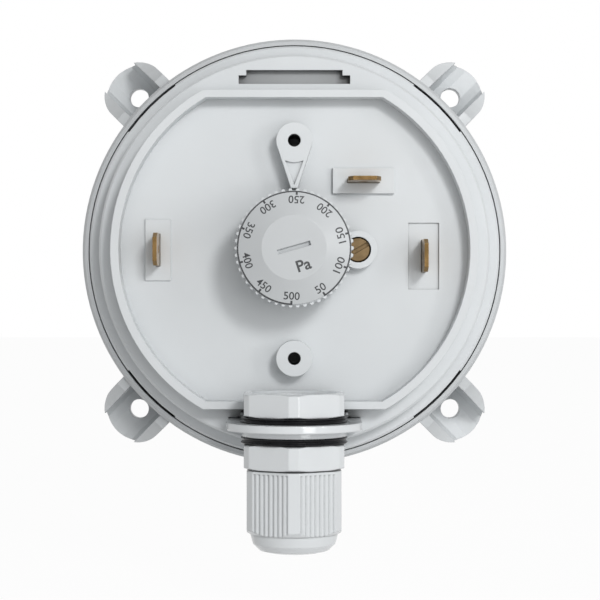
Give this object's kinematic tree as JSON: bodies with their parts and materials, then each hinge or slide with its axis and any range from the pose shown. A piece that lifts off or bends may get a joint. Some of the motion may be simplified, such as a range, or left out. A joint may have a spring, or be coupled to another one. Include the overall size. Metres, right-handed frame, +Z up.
{
  "type": "differential pressure switch",
  "caption": "Round plastic differential pressure switch, cover off, with toothed setting knob, blade terminals, hose nozzles, corner lugs and a cable gland.",
  "frame": {"origin": "centre of the four lug holes on the back mounting plane", "axes": "+X to the right, +Z up, -Y from the mounting plane towards the viewer; the hose nozzles point along +Y"},
  "size_m": [0.085, 0.0641, 0.0999],
  "materials": {
    "base_plastic": "fine moulded satin",
    "housing_plastic": "fine moulded satin",
    "knob_plastic": "satin with dark printed dial",
    "inner_plastic": "plain moulded",
    "gland_nylon": "smooth nylon",
    "black_rubber": "smooth rubber",
    "silicone": "translucent silicone",
    "brass": "stamped",
    "brass_screw": "turned",
    "contact_silver": "plated",
    "dial_ink": "pad-printed ink",
    "spring_steel": "drawn wire"
  },
  "bodies": {
    "housing": {"base_housing": "base_plastic", "upper_housing": "housing_plastic", "p2_seal": "black_rubber", "diaphragm": "silicone", "range_spring": "spring_steel", "common_terminal": "brass", "open_terminal": "brass", "closed_terminal": "brass", "open_contact": "contact_silver", "closed_contact": "contact_silver", "lever_pivot_pin": "spring_steel", "gland_locknut": "gland_nylon", "gland_inner_seal": "black_rubber", "gland_collar": "gland_nylon", "gland_outer_seal": "black_rubber", "gland_body": "gland_nylon"},
    "knob": {"adjusting_knob": "knob_plastic", "knob_clip": "spring_steel"},
    "seat": {"spring_seat": "inner_plastic"},
    "plate": {"diaphragm_plate": "inner_plastic"},
    "lever": {"contact_lever": "brass", "moving_contact": "contact_silver"},
    "calibration": {"calibration_screw": "brass_screw"},
    "gland_clamp": {"gland_clamp_insert": "inner_plastic", "gland_seal_bush": "black_rubber"},
    "dome_nut": {"gland_dome_nut": "gland_nylon"}
  },
  "joints": [
    {"name": "knob_turn", "type": "hinge", "parent": "housing", "child": "knob", "pos_m": [0, -0.0385, 0], "axis": [0, -1, 0], "range_deg": [-177.2, 146.8]},
    {"name": "seat_travel", "type": "slide", "parent": "housing", "child": "seat", "axis": [0, -1, 0], "range_m": [-0.00246, 0.00204], "deforming": ["range_spring"]},
    {"name": "plate_travel", "type": "slide", "parent": "housing", "child": "plate", "axis": [0, -1, 0], "range_m": [0, 0.0008], "stiffness_N_per_m": 300, "springref_m": -0.002, "deforming": ["range_spring", "diaphragm"]},
    {"name": "lever_swing", "type": "hinge", "parent": "housing", "child": "lever", "pos_m": [-0.018, -0.0146, 0.0124], "axis": [0, 0, -1], "range_deg": [0, 3.28]},
    {"name": "calibration_turn", "type": "hinge", "parent": "housing", "child": "calibration", "pos_m": [0.0124, -0.028, 0], "axis": [0, -1, 0], "range_deg": [-180, 180]},
    {"name": "clamp_travel", "type": "slide", "parent": "housing", "child": "gland_clamp", "axis": [0, 0, -1], "range_m": [0, 0.0015]},
    {"name": "dome_nut_turn", "type": "hinge", "parent": "gland_clamp", "child": "dome_nut", "pos_m": [0, -0.03817, -0.05], "axis": [0, 0, -1], "range_deg": [0, 360]}
  ],
  "couplings": [
    {"joint": "knob_turn", "follows": "seat_travel", "rad_per_m": 1256.6},
    {"joint": "lever_swing", "follows": "plate_travel", "rad_per_m": 71.429},
    {"joint": "dome_nut_turn", "follows": "clamp_travel", "rad_per_m": 4188.8}
  ]
}
